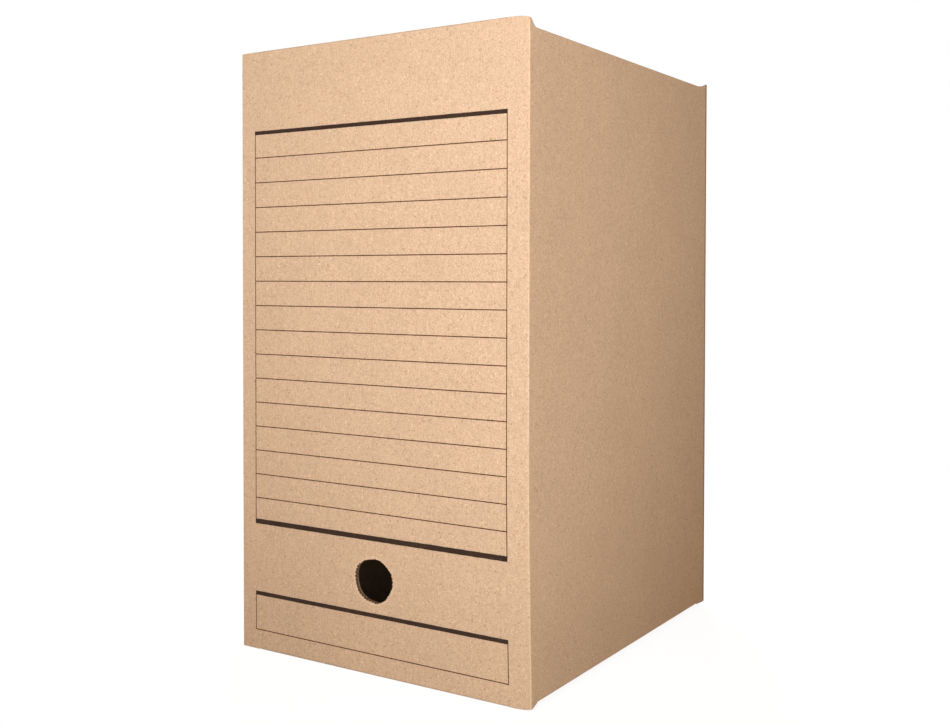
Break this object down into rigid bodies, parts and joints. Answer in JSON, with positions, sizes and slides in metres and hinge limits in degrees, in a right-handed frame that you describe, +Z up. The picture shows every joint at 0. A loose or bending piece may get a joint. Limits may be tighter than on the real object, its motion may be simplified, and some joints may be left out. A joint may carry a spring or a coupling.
{
  "type": "archive box",
  "caption": "Upright corrugated-board archive box with a finger hole and label field on its spine, and a tuck-in lid over dust flaps at each end.",
  "frame": {"origin": "middle of the base, on the face that the box stands on", "axes": "+Z up along the box's height, -Y out of the spine with the finger hole, +X to the right seen from the spine"},
  "size_m": [0.2, 0.24, 0.358],
  "materials": {
    "kraft_board": "matt brown kraft liner"
  },
  "bodies": {
    "shell": {"front_panel": "kraft_board", "right_side_panel": "kraft_board", "back_panel": "kraft_board", "left_side_panel": "kraft_board", "glue_flap": "kraft_board"},
    "top_lid": {"top_lid": "kraft_board"},
    "top_tuck_flap": {"top_tuck_flap": "kraft_board"},
    "top_right_dust_flap": {"top_right_dust_flap": "kraft_board"},
    "top_left_dust_flap": {"top_left_dust_flap": "kraft_board"},
    "bottom_lid": {"bottom_lid": "kraft_board"},
    "bottom_tuck_flap": {"bottom_tuck_flap": "kraft_board"},
    "bottom_right_dust_flap": {"bottom_right_dust_flap": "kraft_board"},
    "bottom_left_dust_flap": {"bottom_left_dust_flap": "kraft_board"}
  },
  "joints": [
    {"name": "top_lid_fold", "type": "hinge", "parent": "shell", "child": "top_lid", "pos_m": [0, -0.1186, 0.3566], "axis": [1, 0, 0], "range_deg": [0, 175]},
    {"name": "top_tuck_fold", "type": "hinge", "parent": "top_lid", "child": "top_tuck_flap", "pos_m": [0, 0.1143, 0.3566], "axis": [1, 0, 0], "range_deg": [0, 53]},
    {"name": "top_right_dust_fold", "type": "hinge", "parent": "shell", "child": "top_right_dust_flap", "pos_m": [0.0986, 0, 0.3512], "axis": [0, 1, 0], "range_deg": [0, 88]},
    {"name": "top_left_dust_fold", "type": "hinge", "parent": "shell", "child": "top_left_dust_flap", "pos_m": [-0.0986, 0, 0.3512], "axis": [0, -1, 0], "range_deg": [0, 88]},
    {"name": "bottom_lid_fold", "type": "hinge", "parent": "shell", "child": "bottom_lid", "pos_m": [0, -0.1186, 0.0014], "axis": [-1, 0, 0], "range_deg": [0, 175]},
    {"name": "bottom_tuck_fold", "type": "hinge", "parent": "bottom_lid", "child": "bottom_tuck_flap", "pos_m": [0, 0.1143, 0.0014], "axis": [-1, 0, 0], "range_deg": [0, 53]},
    {"name": "bottom_right_dust_fold", "type": "hinge", "parent": "shell", "child": "bottom_right_dust_flap", "pos_m": [0.0986, 0, 0.0045], "axis": [0, -1, 0], "range_deg": [0, 88]},
    {"name": "bottom_left_dust_fold", "type": "hinge", "parent": "shell", "child": "bottom_left_dust_flap", "pos_m": [-0.0986, 0, 0.0045], "axis": [0, 1, 0], "range_deg": [0, 88]}
  ],
  "couplings": [
    {"joint": "top_tuck_fold", "follows": "top_lid_fold", "ratio": 0.3},
    {"joint": "top_right_dust_fold", "follows": "top_lid_fold", "ratio": 0.5},
    {"joint": "top_left_dust_fold", "follows": "top_lid_fold", "ratio": 0.5},
    {"joint": "bottom_tuck_fold", "follows": "bottom_lid_fold", "ratio": 0.3},
    {"joint": "bottom_right_dust_fold", "follows": "bottom_lid_fold", "ratio": 0.5},
    {"joint": "bottom_left_dust_fold", "follows": "bottom_lid_fold", "ratio": 0.5}
  ]
}
